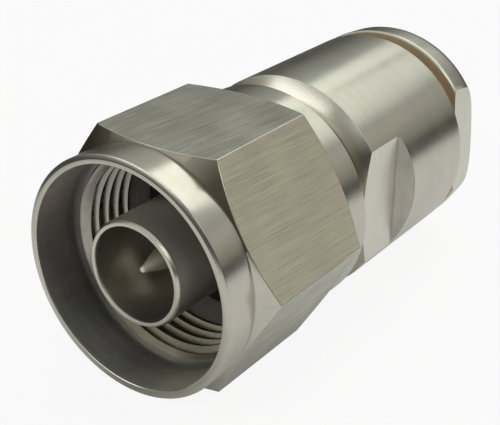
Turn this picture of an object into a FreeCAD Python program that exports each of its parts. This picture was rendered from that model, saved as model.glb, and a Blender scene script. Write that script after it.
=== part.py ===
# Coaxial cable plug of the N type with a screwed cable clamp, in millimetres.
# The plug lies on one flat of its coupling nut. X runs along the axis from the mating plane
# (the front face of the outer contact) to the cable end, and Z points up.
import FreeCAD, Part
import Sketcher
import math
import os

doc = FreeCAD.newDocument("CablePlug")
sheet = doc.addObject("Spreadsheet::Sheet", "Sizes")

driving_sizes = [
    # coupling nut along the axis, from its rim backwards
    ("rimAhead", 0.95, "rim of the coupling nut ahead of the mating plane"),
    ("nutLength", 16.8, "coupling nut, rim to rear face"),
    ("collarLength", 2.8, "plain collar, rim to hexagon"),
    ("rearCollarLength", 2.4, "plain collar behind the hexagon"),
    ("rimBoreDepth", 4.15, "depth of the smooth counterbore behind the rim"),
    ("threadLeadLength", 0.55, "lead-in cone of the coupling thread"),
    ("threadLength", 4.3, "coupling thread behind its lead-in"),
    ("webThickness", 2.45, "inner web that turns on the shell's neck"),
    # coupling nut across the axis, from its thread outwards
    ("threadMajorDiameter", 15.875, "roots of the coupling thread"),
    ("threadDepth", 0.5075, "roots to crests of the coupling thread"),
    ("threadLeadRise", 0.0625, "wide end of the lead-in cone outside the roots"),
    ("rimBoreStep", 0.3, "counterbore outside the wide end of the lead-in cone"),
    ("reliefDepth", 0.1625, "thread relief outside the roots"),
    ("hexWall", 1.0625, "roots to a flat of the hexagon"),
    ("collarStep", 0.025, "front collar inside the hexagon's flats"),
    ("barrelStep", 0.05, "rear collar, barrel and flange inside the hexagon's flats"),
    ("hexChamferAngle", 30.0, "chamfer of the hexagon's corners, degrees from square"),
    ("rimBevelWidth", 0.3, "bevel of the rim, radial"),
    ("rimBevelDepth", 0.15, "bevel of the rim, along the axis"),
    ("edgeBreak", 0.12, "small chamfer on turned edges"),
    # running gaps between the coupling nut and what carries it
    ("neckClearance", 0.06, "web on neck, radial"),
    ("webPlay", 0.25, "web to ring and web to shoulder, along the axis"),
    # retaining ring and its groove
    ("ringThickness", 0.7, "retaining ring, along the axis"),
    ("ringTipClearance", 0.35, "retaining ring inside the thread relief"),
    ("ringStandout", 0.75, "retaining ring outside the neck"),
    ("ringGapAngle", 18.0, "opening of the retaining ring, degrees"),
    ("ringSeatClearance", 0.05, "retaining ring in its groove, every side"),
    ("grooveDepth", 0.65, "groove of the retaining ring"),
    # shell
    ("frontLand", 0.8, "neck ahead of the groove"),
    ("shoulderHeight", 0.6, "shoulder behind the coupling nut, above the neck"),
    ("shoulderLength", 1.55, "shoulder, neck to chamfer"),
    ("barrelChamferAngle", 30.0, "chamfer ahead of the barrel, degrees from square"),
    ("shellFlatDepth", 1.32, "wrench flats of the shell below its barrel"),
    ("runOutLength", 1.1, "sloping end of the wrench flats, along the axis"),
    ("runOutInset", 0.17, "end of that slope ahead of the threaded bore"),
    ("runOutRadius", 0.6, "radius between a wrench flat and its sloping end"),
    ("clampBoreLength", 5.4, "bore around the braid clamp"),
    ("clampThreadBoreLength", 7.53, "threaded bore behind it, to the rear face"),
    ("barrelWall", 1.0, "wall around the threaded bore"),
    # outer contact
    ("contactDiameter", 8.0, "outside of the outer contact"),
    ("contactWall", 0.5, "wall of the outer contact"),
    ("contactBevel", 0.12, "chamfer of its front edge"),
    ("rootStep", 0.6, "thicker root of the outer contact, outside the tube"),
    ("rootLength", 1.7, "thicker root, ahead of the shell"),
    ("sleeveStep", 0.4, "rear sleeve, outside the root"),
    ("sleeveLength", 2.0, "rear sleeve, pressed in the shell"),
    ("pressClearance", 0.01, "pressed sleeve in the shell, radial"),
    # front gasket
    ("gasketThickness", 2.0, "front gasket"),
    ("gasketInset", 0.1, "front gasket inside the neck"),
    ("gasketClearance", 0.05, "front gasket on the root, radial"),
    # insulators
    ("beadClearance", 0.03, "insulators in their bores and on the stem, radial"),
    ("frontBeadNose", 3.7, "front insulator inside the outer contact"),
    ("frontBeadFlange", 1.8, "front insulator behind the outer contact"),
    ("rearBeadLength", 2.8, "rear insulator"),
    # centre contact
    ("pinRecess", 0.87, "tip of the pin behind the mating plane"),
    ("pinTipDiameter", 0.4, "blunt end of the cone, before rounding"),
    ("pinTipRadius", 0.15, "rounding of the tip"),
    ("pinConeLength", 2.1, "cone of the pin"),
    ("pinDiameter", 1.65, "mating pin"),
    ("pinLength", 4.43, "mating pin, tip to stem"),
    ("stemDiameter", 3.04, "stem of the centre contact"),
    ("stemCollarDiameter", 4.4, "collar held between the insulators"),
    ("stemCollarLength", 1.0, "collar"),
    ("cupReach", 2.4, "solder cup behind the rear insulator"),
    ("cupBore", 1.9, "bore of the solder cup"),
    ("cupDepth", 3.4, "depth of the solder cup"),
    ("solderHole", 0.8, "side hole of the solder cup"),
    ("solderHoleInset", 1.4, "side hole ahead of the cup's end"),
    # cable clamp
    ("clampPartDiameter", 12.8, "braid clamp and clamp gasket, outside"),
    ("clampPartClearance", 0.1, "braid clamp and clamp gasket in the shell, radial"),
    ("braidBore", 6.0, "bore of the braid clamp"),
    ("braidNoseDiameter", 9.2, "small end of the braid clamp's taper"),
    ("braidTaper", 0.8, "taper of the braid clamp, along the axis"),
    ("braidClampLength", 3.0, "braid clamp without its ridge"),
    ("ridgeHeight", 0.6, "ridge that bites the clamp gasket"),
    ("ridgeHalfWidth", 0.5, "half width of the ridge's foot"),
    ("ridgeClearance", 0.1, "ridge in the gasket's groove"),
    ("clampGasketLength", 3.2, "clamp gasket"),
    ("clampGasketBore", 8.0, "bore of the clamp gasket"),
    ("washerThickness", 0.7, "thrust washer"),
    ("washerInset", 0.6, "thrust washer inside the clamp nut's nose"),
    ("washerBore", 9.0, "thrust washer, inside"),
    # clamp nut
    ("clampThreadClearance", 0.05, "threaded nose in the shell, radial"),
    ("threadEngaged", 4.4, "threaded nose inside the shell"),
    ("seamGap", 1.67, "open seam between shell and clamp nut"),
    ("flangeLength", 3.53, "flange of the clamp nut"),
    ("flangeFlatDepth", 1.35, "wrench flats of the clamp nut below its flange"),
    ("flangeRounding", 1.5, "rounded rear edge of the clamp nut"),
    ("cableBore", 8.4, "cable entry"),
    ("cableLeadIn", 0.4, "chamfer of the cable entry"),
    ("clampNutTurn", 4.0, "turn of the clamp nut's flats against the shell's, degrees"),
]
for row, (alias, value, meaning) in enumerate(driving_sizes, start=1):
    sheet.set(f"A{row}", meaning)
    sheet.set(f"B{row}", str(value))
    sheet.setAlias(f"B{row}", alias)
doc.recompute()


def size(alias):
    return f"Sizes.{alias}"


def half(alias):
    """The expression for a radius, from the alias of its diameter."""
    return f"Sizes.{alias} / 2"


def added(*expressions):
    return "(" + " + ".join(expressions) + ")"


def less(first, *expressions):
    return "(" + " - ".join((first,) + expressions) + ")"


# radii, from the coupling thread outwards and inwards
thread_root = half("threadMajorDiameter")
thread_crest = less(thread_root, size("threadDepth"))
thread_lead = added(thread_root, size("threadLeadRise"))
rim_bore = added(thread_lead, size("rimBoreStep"))
relief = added(thread_root, size("reliefDepth"))
hex_flat = added(thread_root, size("hexWall"))
collar = less(hex_flat, size("collarStep"))
barrel = less(hex_flat, size("barrelStep"))
ring_outside = less(relief, size("ringTipClearance"))
neck = less(ring_outside, size("ringStandout"))
groove = less(neck, size("grooveDepth"))
shoulder = added(neck, size("shoulderHeight"))
clamp_thread_bore = less(barrel, size("barrelWall"))
clamp_thread = less(clamp_thread_bore, size("clampThreadClearance"))

# radii, from the outer contact outwards and inwards
contact = half("contactDiameter")
contact_bore = less(contact, size("contactWall"))
contact_root = added(contact, size("rootStep"))
sleeve = added(contact_root, size("sleeveStep"))
sleeve_seat = added(sleeve, size("pressClearance"))
stem_hole = added(half("stemDiameter"), size("beadClearance"))
clamp_part = half("clampPartDiameter")
clamp_bore = added(clamp_part, size("clampPartClearance"))
# the ridge stands halfway between the clamp gasket's bore and its outside
ridge = f"({clamp_part} + {half('clampGasketBore')}) / 2"

# stations along the axis, from the mating plane
ring_rear = less(size("nutLength"), size("rimAhead"), size("webThickness"), size("webPlay"))
groove_width = added(size("ringThickness"), size("ringSeatClearance"), size("ringSeatClearance"))
shell_front = less(ring_rear, size("ringThickness"), size("ringSeatClearance"), size("frontLand"))
bead_joint = added(shell_front, size("sleeveLength"), size("frontBeadFlange"))
clamp_seat = added(bead_joint, size("rearBeadLength"))
shoulder_front = added(ring_rear, size("webPlay"), size("webThickness"), size("webPlay"))
shoulder_rear = added(shoulder_front, size("shoulderLength"))
barrel_start = added(shoulder_rear, f"({barrel} - {shoulder}) * tan(Sizes.barrelChamferAngle * 1 deg)")
clamp_bore_end = added(clamp_seat, size("clampBoreLength"))
run_out_end = less(clamp_bore_end, size("runOutInset"))
shell_rear = added(clamp_bore_end, size("clampThreadBoreLength"))
nose_front = less(shell_rear, size("threadEngaged"))


def origin_feature(body, role):
    return next(item for item in body.Origin.OriginFeatures if item.Role == role)


def new_sketch(body, plane):
    sketch = body.newObject("Sketcher::SketchObject", "Sketch")
    sketch.AttachmentSupport = [(origin_feature(body, plane), "")]
    sketch.MapMode = "FlatFace"
    return sketch


def tie_point(sketch, line, across, up):
    """Ties the start of a line to two expressions, measured from the sketch's origin."""
    for kind, axis, expression in (("DistanceX", -2, across), ("DistanceY", -1, up)):
        if expression == "0":
            sketch.addConstraint(Sketcher.Constraint("PointOnObject", line, 1, axis))
            continue
        index = sketch.addConstraint(Sketcher.Constraint(kind, -1, 1, line, 1, 1.0))
        sketch.setExpression(f"Constraints[{index}]", expression)


def draw_outline(sketch, corners):
    """A closed run of straight lines, each corner tied to its two expressions."""
    count = len(corners)
    # the corners start spread around a circle, and their expressions pull them into place
    angles = [2 * math.pi * i / count for i in range(count)]
    spread = [FreeCAD.Vector(10 * math.sin(a), 10 * math.cos(a), 0) for a in angles]
    for i in range(count):
        sketch.addGeometry(Part.LineSegment(spread[i], spread[(i + 1) % count]), False)
    for i in range(count):
        sketch.addConstraint(Sketcher.Constraint("Coincident", i, 2, (i + 1) % count, 1))
    for i, (across, up) in enumerate(corners):
        tie_point(sketch, i, across, up)


def turned_body(name, station, outline):
    """A body turned about X, its outline given as stations and radii from its own front face."""
    body = doc.addObject("PartDesign::Body", name)
    body.Label = name
    sketch = new_sketch(body, "XZ_Plane")
    draw_outline(sketch, outline)
    turning = body.newObject("PartDesign::Revolution", "Turning")
    turning.Profile = sketch
    turning.ReferenceAxis = (sketch, ["H_Axis"])
    turning.Angle = 360
    body.setExpression("Placement.Base.x", station)
    doc.recompute()
    return body


def mill(body, plane, outline, **settings):
    """Cuts an outline through the whole body, square to the plane that it is drawn on."""
    before = body.Shape.Volume
    sketch = new_sketch(body, plane)
    draw_outline(sketch, outline)
    cut = body.newObject("PartDesign::Pocket", "Cut")
    cut.Profile = sketch
    cut.Type = "ThroughAll"
    for setting, value in settings.items():
        setattr(cut, setting, value)
    doc.recompute()
    if body.Shape.Volume >= before:
        raise RuntimeError(f"{body.Label}: a cut removed nothing")
    return cut


def repeat_around_axis(body, cut, count):
    pattern = body.newObject("PartDesign::PolarPattern", "Around")
    pattern.Originals = [cut]
    pattern.Axis = (origin_feature(body, "X_Axis"), [""])
    pattern.Angle = 360
    pattern.Occurrences = count
    body.Tip = pattern
    doc.recompute()
    return pattern


def round_edges(body, radius, wanted):
    """Rounds those edges of the body that the test picks, by a radius from the sheet."""
    base = body.Tip
    names = [f"Edge{i}" for i, edge in enumerate(base.Shape.Edges, start=1) if wanted(edge)]
    rounding = body.newObject("PartDesign::Fillet", "Rounding")
    rounding.Base = (base, names)
    rounding.setExpression("Radius", size(radius))
    body.Tip = rounding
    doc.recompute()
    return rounding


def circle_at(edge, station, radius):
    """Whether an edge is a full circle about X with that station and radius."""
    curve = edge.Curve
    return (isinstance(curve, Part.Circle) and abs(curve.Radius - radius) < 1e-4
            and abs(curve.Center.x - station) < 1e-4)


def coupling_nut():
    """The turning nut: collar, hexagon and collar outside; counterbore, thread bore and web inside."""
    corner = f"{hex_flat} * 2 / sqrt(3)"
    slope = "tan(Sizes.hexChamferAngle * 1 deg)"
    hex_end = less(size("nutLength"), size("rearCollarLength"))
    web_front = less(size("nutLength"), size("webThickness"))
    web_bore = added(neck, size("neckClearance"))
    thread_start = added(size("rimBoreDepth"), size("threadLeadLength"))
    thread_end = added(thread_start, size("threadLength"))
    body = turned_body("coupling_nut", "-Sizes.rimAhead", [
        ("0", less(collar, size("rimBevelWidth"))),
        (size("rimBevelDepth"), collar),
        (size("collarLength"), collar),
        (added(size("collarLength"), f"({corner} - {collar}) * {slope}"), corner),
        (less(hex_end, f"({corner} - {barrel}) * {slope}"), corner),
        (hex_end, barrel),
        (less(size("nutLength"), size("edgeBreak")), barrel),
        (size("nutLength"), less(barrel, size("edgeBreak"))),
        (size("nutLength"), web_bore),
        (web_front, web_bore),
        (web_front, relief),
        (thread_end, relief),
        (thread_end, thread_crest),
        (thread_start, thread_crest),
        (size("rimBoreDepth"), thread_lead),
        (size("rimBoreDepth"), rim_bore),
        (size("edgeBreak"), rim_bore),
        ("0", added(rim_bore, size("edgeBreak"))),
    ])
    # one flat on top, then all six
    outside = f"{hex_flat} * 2"
    top = mill(body, "YZ_Plane", [
        (f"-{outside}", hex_flat),
        (outside, hex_flat),
        (outside, outside),
        (f"-{outside}", outside),
    ], Reversed=True)
    repeat_around_axis(body, top, 6)
    return body


def retaining_ring():
    """The split ring in the neck's groove, just ahead of the coupling nut's web."""
    inside = added(groove, size("ringSeatClearance"))
    body = turned_body("retaining_ring", less(ring_rear, size("ringThickness")), [
        ("0", inside),
        ("0", ring_outside),
        (size("ringThickness"), ring_outside),
        (size("ringThickness"), inside),
    ])
    body.Tip.setExpression("Angle", "360 - Sizes.ringGapAngle")
    doc.recompute()
    return body


def shell():
    """The barrel: neck and groove for the nut, shoulder, chamfer, wrench flats and clamp thread."""
    groove_rear = added(size("frontLand"), groove_width)
    neck_end = less(shoulder_front, shell_front)
    chamfer_start = less(shoulder_rear, shell_front)
    chamfer_end = less(barrel_start, shell_front)
    seat = less(clamp_seat, shell_front)
    bore_end = less(clamp_bore_end, shell_front)
    rear = less(shell_rear, shell_front)
    body = turned_body("shell", shell_front, [
        ("0", less(neck, size("edgeBreak"))),
        (size("edgeBreak"), neck),
        (size("frontLand"), neck),
        (size("frontLand"), groove),
        (groove_rear, groove),
        (groove_rear, neck),
        (neck_end, neck),
        (neck_end, shoulder),
        (chamfer_start, shoulder),
        (chamfer_end, barrel),
        (less(rear, size("edgeBreak")), barrel),
        (rear, less(barrel, size("edgeBreak"))),
        (rear, clamp_thread_bore),
        (bore_end, clamp_thread_bore),
        (bore_end, clamp_bore),
        (seat, clamp_bore),
        (seat, sleeve_seat),
        ("0", sleeve_seat),
    ])
    flat = less(barrel, size("shellFlatDepth"))
    outside = f"{barrel} * 2"
    slope_end = less(run_out_end, shell_front)
    flat_end = less(slope_end, size("runOutLength"))
    side = mill(body, "XY_Plane", [
        (neck_end, flat),
        (flat_end, flat),
        (slope_end, barrel),
        (slope_end, outside),
        (neck_end, outside),
    ], Midplane=True)
    repeat_around_axis(body, side, 2)
    foot_station = sheet_value(flat_end)
    foot_height = sheet_value(flat)

    def foot_of_slope(edge):
        middle = edge.CenterOfMass
        return (isinstance(edge.Curve, Part.Line) and abs(abs(edge.Curve.Direction.z) - 1) < 1e-6
                and abs(middle.x - foot_station) < 1e-4 and abs(abs(middle.y) - foot_height) < 1e-4)

    round_edges(body, "runOutRadius", foot_of_slope)
    return body


def sheet_value(expression):
    """The present value of an expression, in millimetres."""
    found = sheet.evalExpression(expression)
    return float(getattr(found, "Value", found))


def outer_contact():
    """The plain tube that meets the socket, with the thicker root and sleeve that hold it."""
    root_start = less(shell_front, size("rootLength"))
    rear = added(shell_front, size("sleeveLength"))
    return turned_body("outer_contact", "0 mm", [
        ("0", less(contact, size("contactBevel"))),
        (size("contactBevel"), contact),
        (root_start, contact),
        (root_start, contact_root),
        (shell_front, contact_root),
        (shell_front, sleeve),
        (rear, sleeve),
        (rear, contact_bore),
        ("0", contact_bore),
    ])


def front_gasket():
    """The rubber washer around the contact's root, against the shell's front face."""
    inside = added(contact_root, size("gasketClearance"))
    outside = less(neck, size("gasketInset"))
    return turned_body("front_gasket", less(shell_front, size("gasketThickness")), [
        ("0", inside),
        ("0", outside),
        (size("gasketThickness"), outside),
        (size("gasketThickness"), inside),
    ])


def front_insulator():
    """The bead with a nose inside the outer contact and a flange behind it."""
    nose = less(contact_bore, size("beadClearance"))
    flange = less(sleeve_seat, size("beadClearance"))
    end = added(size("frontBeadNose"), size("frontBeadFlange"))
    return turned_body("front_insulator", less(bead_joint, end), [
        ("0", stem_hole),
        ("0", nose),
        (size("frontBeadNose"), nose),
        (size("frontBeadNose"), flange),
        (end, flange),
        (end, stem_hole),
    ])


def centre_contact():
    """The pin with its cone, the stem with the collar that holds it, and the solder cup."""
    collar_front = less(bead_joint, size("pinRecess"))
    collar_rear = added(collar_front, size("stemCollarLength"))
    end = less(added(clamp_seat, size("cupReach")), size("pinRecess"))
    stem = half("stemDiameter")
    stem_collar = half("stemCollarDiameter")
    body = turned_body("centre_contact", size("pinRecess"), [
        ("0", "0"),
        ("0", half("pinTipDiameter")),
        (size("pinConeLength"), half("pinDiameter")),
        (size("pinLength"), half("pinDiameter")),
        (size("pinLength"), stem),
        (collar_front, stem),
        (collar_front, stem_collar),
        (collar_rear, stem_collar),
        (collar_rear, stem),
        (end, stem),
        (end, half("cupBore")),
        (less(end, size("cupDepth")), half("cupBore")),
        (less(end, size("cupDepth")), "0"),
    ])
    tip_radius = sheet_value(half("pinTipDiameter"))
    round_edges(body, "pinTipRadius", lambda edge: circle_at(edge, 0, tip_radius))
    # the side hole opens upwards
    sketch = new_sketch(body, "XY_Plane")
    hole = sketch.addGeometry(Part.Circle(FreeCAD.Vector(10, 0, 0), FreeCAD.Vector(0, 0, 1), 1), False)
    sketch.addConstraint(Sketcher.Constraint("PointOnObject", hole, 3, -1))
    place = sketch.addConstraint(Sketcher.Constraint("DistanceX", -1, 1, hole, 3, 10))
    sketch.setExpression(f"Constraints[{place}]", less(end, size("solderHoleInset")))
    width = sketch.addConstraint(Sketcher.Constraint("Diameter", hole, 1))
    sketch.setExpression(f"Constraints[{width}]", size("solderHole"))
    drilled = body.newObject("PartDesign::Pocket", "SideHole")
    drilled.Profile = sketch
    drilled.Type = "ThroughAll"
    drilled.Reversed = True
    doc.recompute()
    return body


def rear_insulator():
    """The bead behind the contact's collar, recessed for it."""
    recess = added(half("stemCollarDiameter"), size("beadClearance"))
    depth = added(size("stemCollarLength"), size("beadClearance"))
    outside = less(sleeve_seat, size("beadClearance"))
    return turned_body("rear_insulator", bead_joint, [
        ("0", recess),
        ("0", outside),
        (size("rearBeadLength"), outside),
        (size("rearBeadLength"), stem_hole),
        (depth, stem_hole),
        (depth, recess),
    ])


def braid_clamp():
    """The ring whose taper takes the braid and whose ridge bites the clamp gasket."""
    length = size("braidClampLength")
    return turned_body("braid_clamp", clamp_seat, [
        ("0", half("braidBore")),
        ("0", half("braidNoseDiameter")),
        (size("braidTaper"), clamp_part),
        (length, clamp_part),
        (length, added(ridge, size("ridgeHalfWidth"))),
        (added(length, size("ridgeHeight")), ridge),
        (length, less(ridge, size("ridgeHalfWidth"))),
        (length, half("braidBore")),
    ])


def clamp_gasket():
    """The rubber ring behind the braid clamp, grooved for its ridge."""
    half_groove = added(size("ridgeHalfWidth"), size("ridgeClearance"))
    return turned_body("clamp_gasket", added(clamp_seat, size("braidClampLength")), [
        ("0", half("clampGasketBore")),
        ("0", less(ridge, half_groove)),
        (added(size("ridgeHeight"), size("ridgeClearance")), ridge),
        ("0", added(ridge, half_groove)),
        ("0", clamp_part),
        (size("clampGasketLength"), clamp_part),
        (size("clampGasketLength"), half("clampGasketBore")),
    ])


def thrust_washer():
    """The flat ring ahead of the clamp nut's nose."""
    outside = less(clamp_thread, size("washerInset"))
    return turned_body("thrust_washer", less(nose_front, size("washerThickness")), [
        ("0", half("washerBore")),
        ("0", outside),
        (size("washerThickness"), outside),
        (size("washerThickness"), half("washerBore")),
    ])


def clamp_nut():
    """The nut at the cable end: threaded nose, flange with two flats, rounded rear edge, cable entry."""
    bore = half("cableBore")
    flange_front = added(size("threadEngaged"), size("seamGap"))
    rear = added(flange_front, size("flangeLength"))
    body = turned_body("clamp_nut", nose_front, [
        ("0", less(clamp_thread, size("edgeBreak"))),
        (size("edgeBreak"), clamp_thread),
        (flange_front, clamp_thread),
        (flange_front, less(barrel, size("edgeBreak"))),
        (added(flange_front, size("edgeBreak")), barrel),
        (rear, barrel),
        (rear, added(bore, size("cableLeadIn"))),
        (less(rear, size("cableLeadIn")), bore),
        ("0", bore),
    ])
    rear_station = sheet_value(rear)
    flange_radius = sheet_value(barrel)
    round_edges(body, "flangeRounding", lambda edge: circle_at(edge, rear_station, flange_radius))
    flat = less(barrel, size("flangeFlatDepth"))
    outside = f"{barrel} * 2"
    side = mill(body, "XY_Plane", [
        (flange_front, flat),
        (rear, flat),
        (rear, outside),
        (flange_front, outside),
    ], Midplane=True)
    repeat_around_axis(body, side, 2)
    body.Placement.Rotation = FreeCAD.Rotation(FreeCAD.Vector(1, 0, 0), 0)
    body.setExpression("Placement.Rotation.Angle", "-Sizes.clampNutTurn * 1 deg")
    return body


pieces = [
    coupling_nut(),
    retaining_ring(),
    shell(),
    outer_contact(),
    front_gasket(),
    front_insulator(),
    centre_contact(),
    rear_insulator(),
    braid_clamp(),
    clamp_gasket(),
    thrust_washer(),
    clamp_nut(),
]
doc.recompute()

for item in doc.Objects:
    if "Invalid" in item.State or "Error" in item.State:
        raise RuntimeError(f"{item.Label} failed: {item.State}")
for piece in pieces:
    if piece.Shape.isNull() or not piece.Shape.isValid() or len(piece.Shape.Solids) != 1:
        raise RuntimeError(f"{piece.Label} isn't one valid solid")

os.makedirs("parts", exist_ok=True)
for piece in pieces:
    piece.Shape.exportStep(f"parts/{piece.Label}.step")
    box = piece.Shape.BoundBox
    print(f"{piece.Label}: x {box.XMin:.2f} to {box.XMax:.2f}, {piece.Shape.Volume:.1f} cubic mm")
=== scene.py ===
import math

import bmesh
import bpy
from mathutils import Matrix, Vector


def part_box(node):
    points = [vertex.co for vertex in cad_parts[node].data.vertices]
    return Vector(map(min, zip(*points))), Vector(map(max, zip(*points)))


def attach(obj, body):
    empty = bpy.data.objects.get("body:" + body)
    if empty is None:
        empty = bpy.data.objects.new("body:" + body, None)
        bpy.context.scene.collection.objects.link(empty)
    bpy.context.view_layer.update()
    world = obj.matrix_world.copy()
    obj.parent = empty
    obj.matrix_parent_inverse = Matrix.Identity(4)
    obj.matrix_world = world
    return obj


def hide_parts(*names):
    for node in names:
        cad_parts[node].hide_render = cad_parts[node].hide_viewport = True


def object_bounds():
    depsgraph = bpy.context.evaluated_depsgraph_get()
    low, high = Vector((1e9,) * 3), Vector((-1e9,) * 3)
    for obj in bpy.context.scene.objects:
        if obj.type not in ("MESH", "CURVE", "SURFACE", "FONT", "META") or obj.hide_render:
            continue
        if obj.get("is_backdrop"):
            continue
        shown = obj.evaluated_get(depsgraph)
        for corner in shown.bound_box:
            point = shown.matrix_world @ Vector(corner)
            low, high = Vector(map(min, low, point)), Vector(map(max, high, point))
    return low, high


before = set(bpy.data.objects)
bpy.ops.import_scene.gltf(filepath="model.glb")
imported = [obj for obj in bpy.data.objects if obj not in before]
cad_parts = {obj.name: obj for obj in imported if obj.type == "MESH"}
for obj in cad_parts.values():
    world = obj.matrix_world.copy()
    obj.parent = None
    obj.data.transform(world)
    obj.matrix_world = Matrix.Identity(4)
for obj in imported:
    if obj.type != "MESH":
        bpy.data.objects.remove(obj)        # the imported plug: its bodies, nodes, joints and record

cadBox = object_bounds()
mm = 0.001               # outlines and sizes below are in millimetres, objects in metres
roundSteps = 180         # faces around the plug, a whole number on each side of the hexagon
hair = 1e-7              # metres, within which two points are one
slack = 1e-4             # millimetres by which a thread's point may miss the thread's end


# camera

cameraView = {
    "azimuth": -54.2,    # degrees, 0 looks along +Y
    "elevation": 26.71,
    "roll": 0.483,
    "focalPixels": 1077.47,
    "imageWidth": 500,
    "sensor": 36.0,
    "rimAt": (-8.494, 4.614, 72.488),   # centre of the nut's rim: right, down and ahead of the camera
}


def placeCamera(view, rimCentre):
    azimuth, elevation, roll = (math.radians(view[key]) for key in ("azimuth", "elevation", "roll"))
    right = Vector((math.cos(azimuth), math.sin(azimuth), 0))
    ahead = Vector((-math.sin(azimuth) * math.cos(elevation),
                    math.cos(azimuth) * math.cos(elevation), -math.sin(elevation)))
    up = right.cross(ahead)
    right, up = (math.cos(roll) * right + math.sin(roll) * up,
                 math.cos(roll) * up - math.sin(roll) * right)
    across, down, away = (value * mm for value in view["rimAt"])
    data = bpy.data.cameras.new("photoCamera")
    data.sensor_fit = "HORIZONTAL"
    data.sensor_width = view["sensor"]
    data.lens = view["focalPixels"] * view["sensor"] / view["imageWidth"]
    data.clip_start = mm
    camera = bpy.data.objects.new("photoCamera", data)
    turn = Matrix((right, up, -ahead)).transposed().to_4x4()
    camera.matrix_world = Matrix.Translation(rimCentre - across * right + down * up - away * ahead) @ turn
    bpy.context.scene.collection.objects.link(camera)
    bpy.context.scene.camera = camera


nutLow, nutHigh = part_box("coupling_nut")
placeCamera(cameraView, Vector((nutLow.x, 0, 0)))
print("camera placed")


# materials

class Signal:
    # a number that varies over a surface, so that masks read as sums
    def __init__(self, graph, socket):
        self.graph = graph
        self.socket = socket

    def math(self, operation, first, second=0.0):
        made = self.graph.node("ShaderNodeMath", {"operation": operation}, {0: first, 1: second})
        return Signal(self.graph, made.outputs[0])

    def __add__(self, other):
        return self.math("ADD", self, other)

    def __radd__(self, other):
        return self.math("ADD", other, self)

    def __sub__(self, other):
        return self.math("SUBTRACT", self, other)

    def __rsub__(self, other):
        return self.math("SUBTRACT", other, self)

    def __mul__(self, other):
        return self.math("MULTIPLY", self, other)

    def __rmul__(self, other):
        return self.math("MULTIPLY", other, self)


class Graph:
    def __init__(self, tree):
        self.tree = tree

    def node(self, kind, settings=None, sockets=None):
        made = self.tree.nodes.new(kind)
        for name, value in (settings or {}).items():
            if name == "stops":
                self.setStops(made.color_ramp, value)
            else:
                setattr(made, name, value)
        for name, value in (sockets or {}).items():
            self.feed(made.inputs[name], value)
        return made

    def setStops(self, ramp, stops):
        while len(ramp.elements) < len(stops):
            ramp.elements.new(1.0)
        for element, (place, colour) in zip(ramp.elements, stops):
            element.position = place
            element.color = (*colour, 1)

    def feed(self, socket, value):
        if isinstance(value, Signal):
            self.tree.links.new(value.socket, socket)
        elif isinstance(value, bpy.types.NodeSocket):
            self.tree.links.new(value, socket)
        else:
            socket.default_value = value


class Finish(Graph):
    def __init__(self, name, colour, roughness, metallic=1.0):
        self.material = bpy.data.materials.new(name)
        self.material.use_nodes = True
        super().__init__(self.material.node_tree)
        self.shader = self.tree.nodes["Principled BSDF"]
        self.shader.inputs["Base Color"].default_value = (*colour, 1)
        self.shader.inputs["Roughness"].default_value = roughness
        self.shader.inputs["Metallic"].default_value = metallic

    def place(self):
        # object coordinates in millimetres: along the axis, then the two across it
        coordinates = self.node("ShaderNodeTexCoord").outputs["Object"]
        scaled = self.node("ShaderNodeVectorMath", {"operation": "SCALE"}, {0: coordinates, "Scale": 1 / mm})
        split = self.node("ShaderNodeSeparateXYZ", None, {0: scaled.outputs[0]})
        return [Signal(self, socket) for socket in split.outputs]

    def noise(self, x, y, z, detail=2.0, roughness=0.5):
        # a coordinate is a length in millimetres times cycles per millimetre
        vector = self.node("ShaderNodeCombineXYZ", None, {0: x, 1: y, 2: z}).outputs[0]
        made = self.node("ShaderNodeTexNoise", None,
                         {"Vector": vector, "Scale": 1.0, "Detail": detail, "Roughness": roughness})
        return Signal(self, made.outputs[0])

    def clamp(self, value, low, high, toLow=0.0, toHigh=1.0):
        made = self.node("ShaderNodeMapRange", {"clamp": True},
                         {"Value": value, "From Min": low, "From Max": high,
                          "To Min": toLow, "To Max": toHigh})
        return Signal(self, made.outputs[0])

    def tint(self, mask, darker, lighter):
        made = self.node("ShaderNodeMix", {"data_type": "RGBA"},
                         {"Factor": mask, 6: (*darker, 1), 7: (*lighter, 1)})
        return made.outputs[2]

    def multiply(self, first, second):
        made = self.node("ShaderNodeMix", {"data_type": "RGBA", "blend_type": "MULTIPLY"},
                         {"Factor": 1.0, 6: first, 7: second})
        return made.outputs[2]

    def bump(self, height, distance):
        made = self.node("ShaderNodeBump", None, {"Height": height, "Distance": distance, "Strength": 1.0})
        self.feed(self.shader.inputs["Normal"], made.outputs[0])

    def paint(self, colour, roughness):
        self.feed(self.shader.inputs["Base Color"], colour)
        self.feed(self.shader.inputs["Roughness"], roughness)


def shaded(colour, factor):
    return tuple(channel * factor for channel in colour)


nickel = (0.63, 0.617, 0.54)
pickledNickel = (0.56, 0.535, 0.465)
ringLean = 0.73          # how far the lathe's rings follow the radius, so that end faces show them too


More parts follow.
